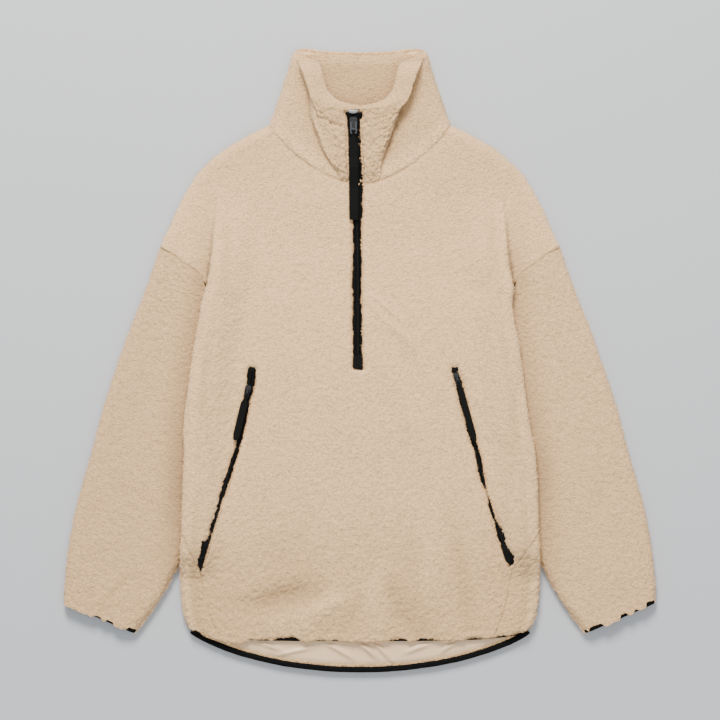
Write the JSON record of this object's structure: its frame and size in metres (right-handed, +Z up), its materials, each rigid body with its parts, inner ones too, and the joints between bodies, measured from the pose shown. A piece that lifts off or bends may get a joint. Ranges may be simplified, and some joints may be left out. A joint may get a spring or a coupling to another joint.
{
  "type": "fleece pullover",
  "caption": "Sherpa fleece pullover laid flat, front up: half-zip stand collar, drop shoulders, slanted zipped pockets, bound hems and a longer rounded back.",
  "frame": {"origin": "middle of the garment box, on the surface it lies on", "axes": "+X across towards the wearer's left sleeve, +Y from hem to collar, +Z up from the surface, the way the front faces"},
  "size_m": [0.7574, 0.7956, 0.0421],
  "materials": {
    "fleece": "deep curled sherpa pile, oatmeal",
    "lining": "smooth woven lining, pale beige",
    "black_tape": "ribbed black tape and coil",
    "webbing": "tight black webbing",
    "gunmetal": "dark satin metal",
    "black_metal": "black lacquered metal"
  },
  "bodies": {
    "garment": {"front_panel": "fleece", "back_panel": "fleece", "right_side_panel": "fleece", "left_side_panel": "fleece", "right_sleeve": "fleece", "right_cuff_binding": "black_tape", "left_sleeve": "fleece", "left_cuff_binding": "black_tape", "collar": "fleece", "back_hem_binding": "black_tape", "front_hem_binding": "black_tape", "back_lining": "lining", "centre_zip": "black_tape", "right_pocket_zip": "black_tape", "left_pocket_zip": "black_tape", "centre_zip_patch": "black_tape", "right_pocket_bartack": "black_tape", "left_pocket_bartack": "black_tape", "centre_zip_slider": "black_metal", "right_pocket_zip_slider": "black_metal", "left_pocket_zip_slider": "black_metal"},
    "centre_zip_pull": {"centre_zip_pull": "gunmetal", "centre_zip_puller": "webbing"},
    "right_pocket_zip_pull": {"right_pocket_zip_pull": "gunmetal", "right_pocket_zip_puller": "webbing"},
    "left_pocket_zip_pull": {"left_pocket_zip_pull": "gunmetal", "left_pocket_zip_puller": "webbing"}
  },
  "joints": [
    {"name": "centre_zip_pull_hinge", "type": "hinge", "parent": "garment", "child": "centre_zip_pull", "pos_m": [-0.0083, 0.30361, 0.03938], "axis": [-1, -0.0041, 0], "range_deg": [0, 150]},
    {"name": "right_pocket_zip_pull_hinge", "type": "hinge", "parent": "garment", "child": "right_pocket_zip_pull", "pos_m": [-0.14383, -0.03569, 0.01701], "axis": [-0.9727, 0.2323, 0], "range_deg": [0, 150]},
    {"name": "left_pocket_zip_pull_hinge", "type": "hinge", "parent": "garment", "child": "left_pocket_zip_pull", "pos_m": [0.12378, -0.01959, 0.01701], "axis": [-0.9636, -0.2672, 0], "range_deg": [0, 150]}
  ]
}
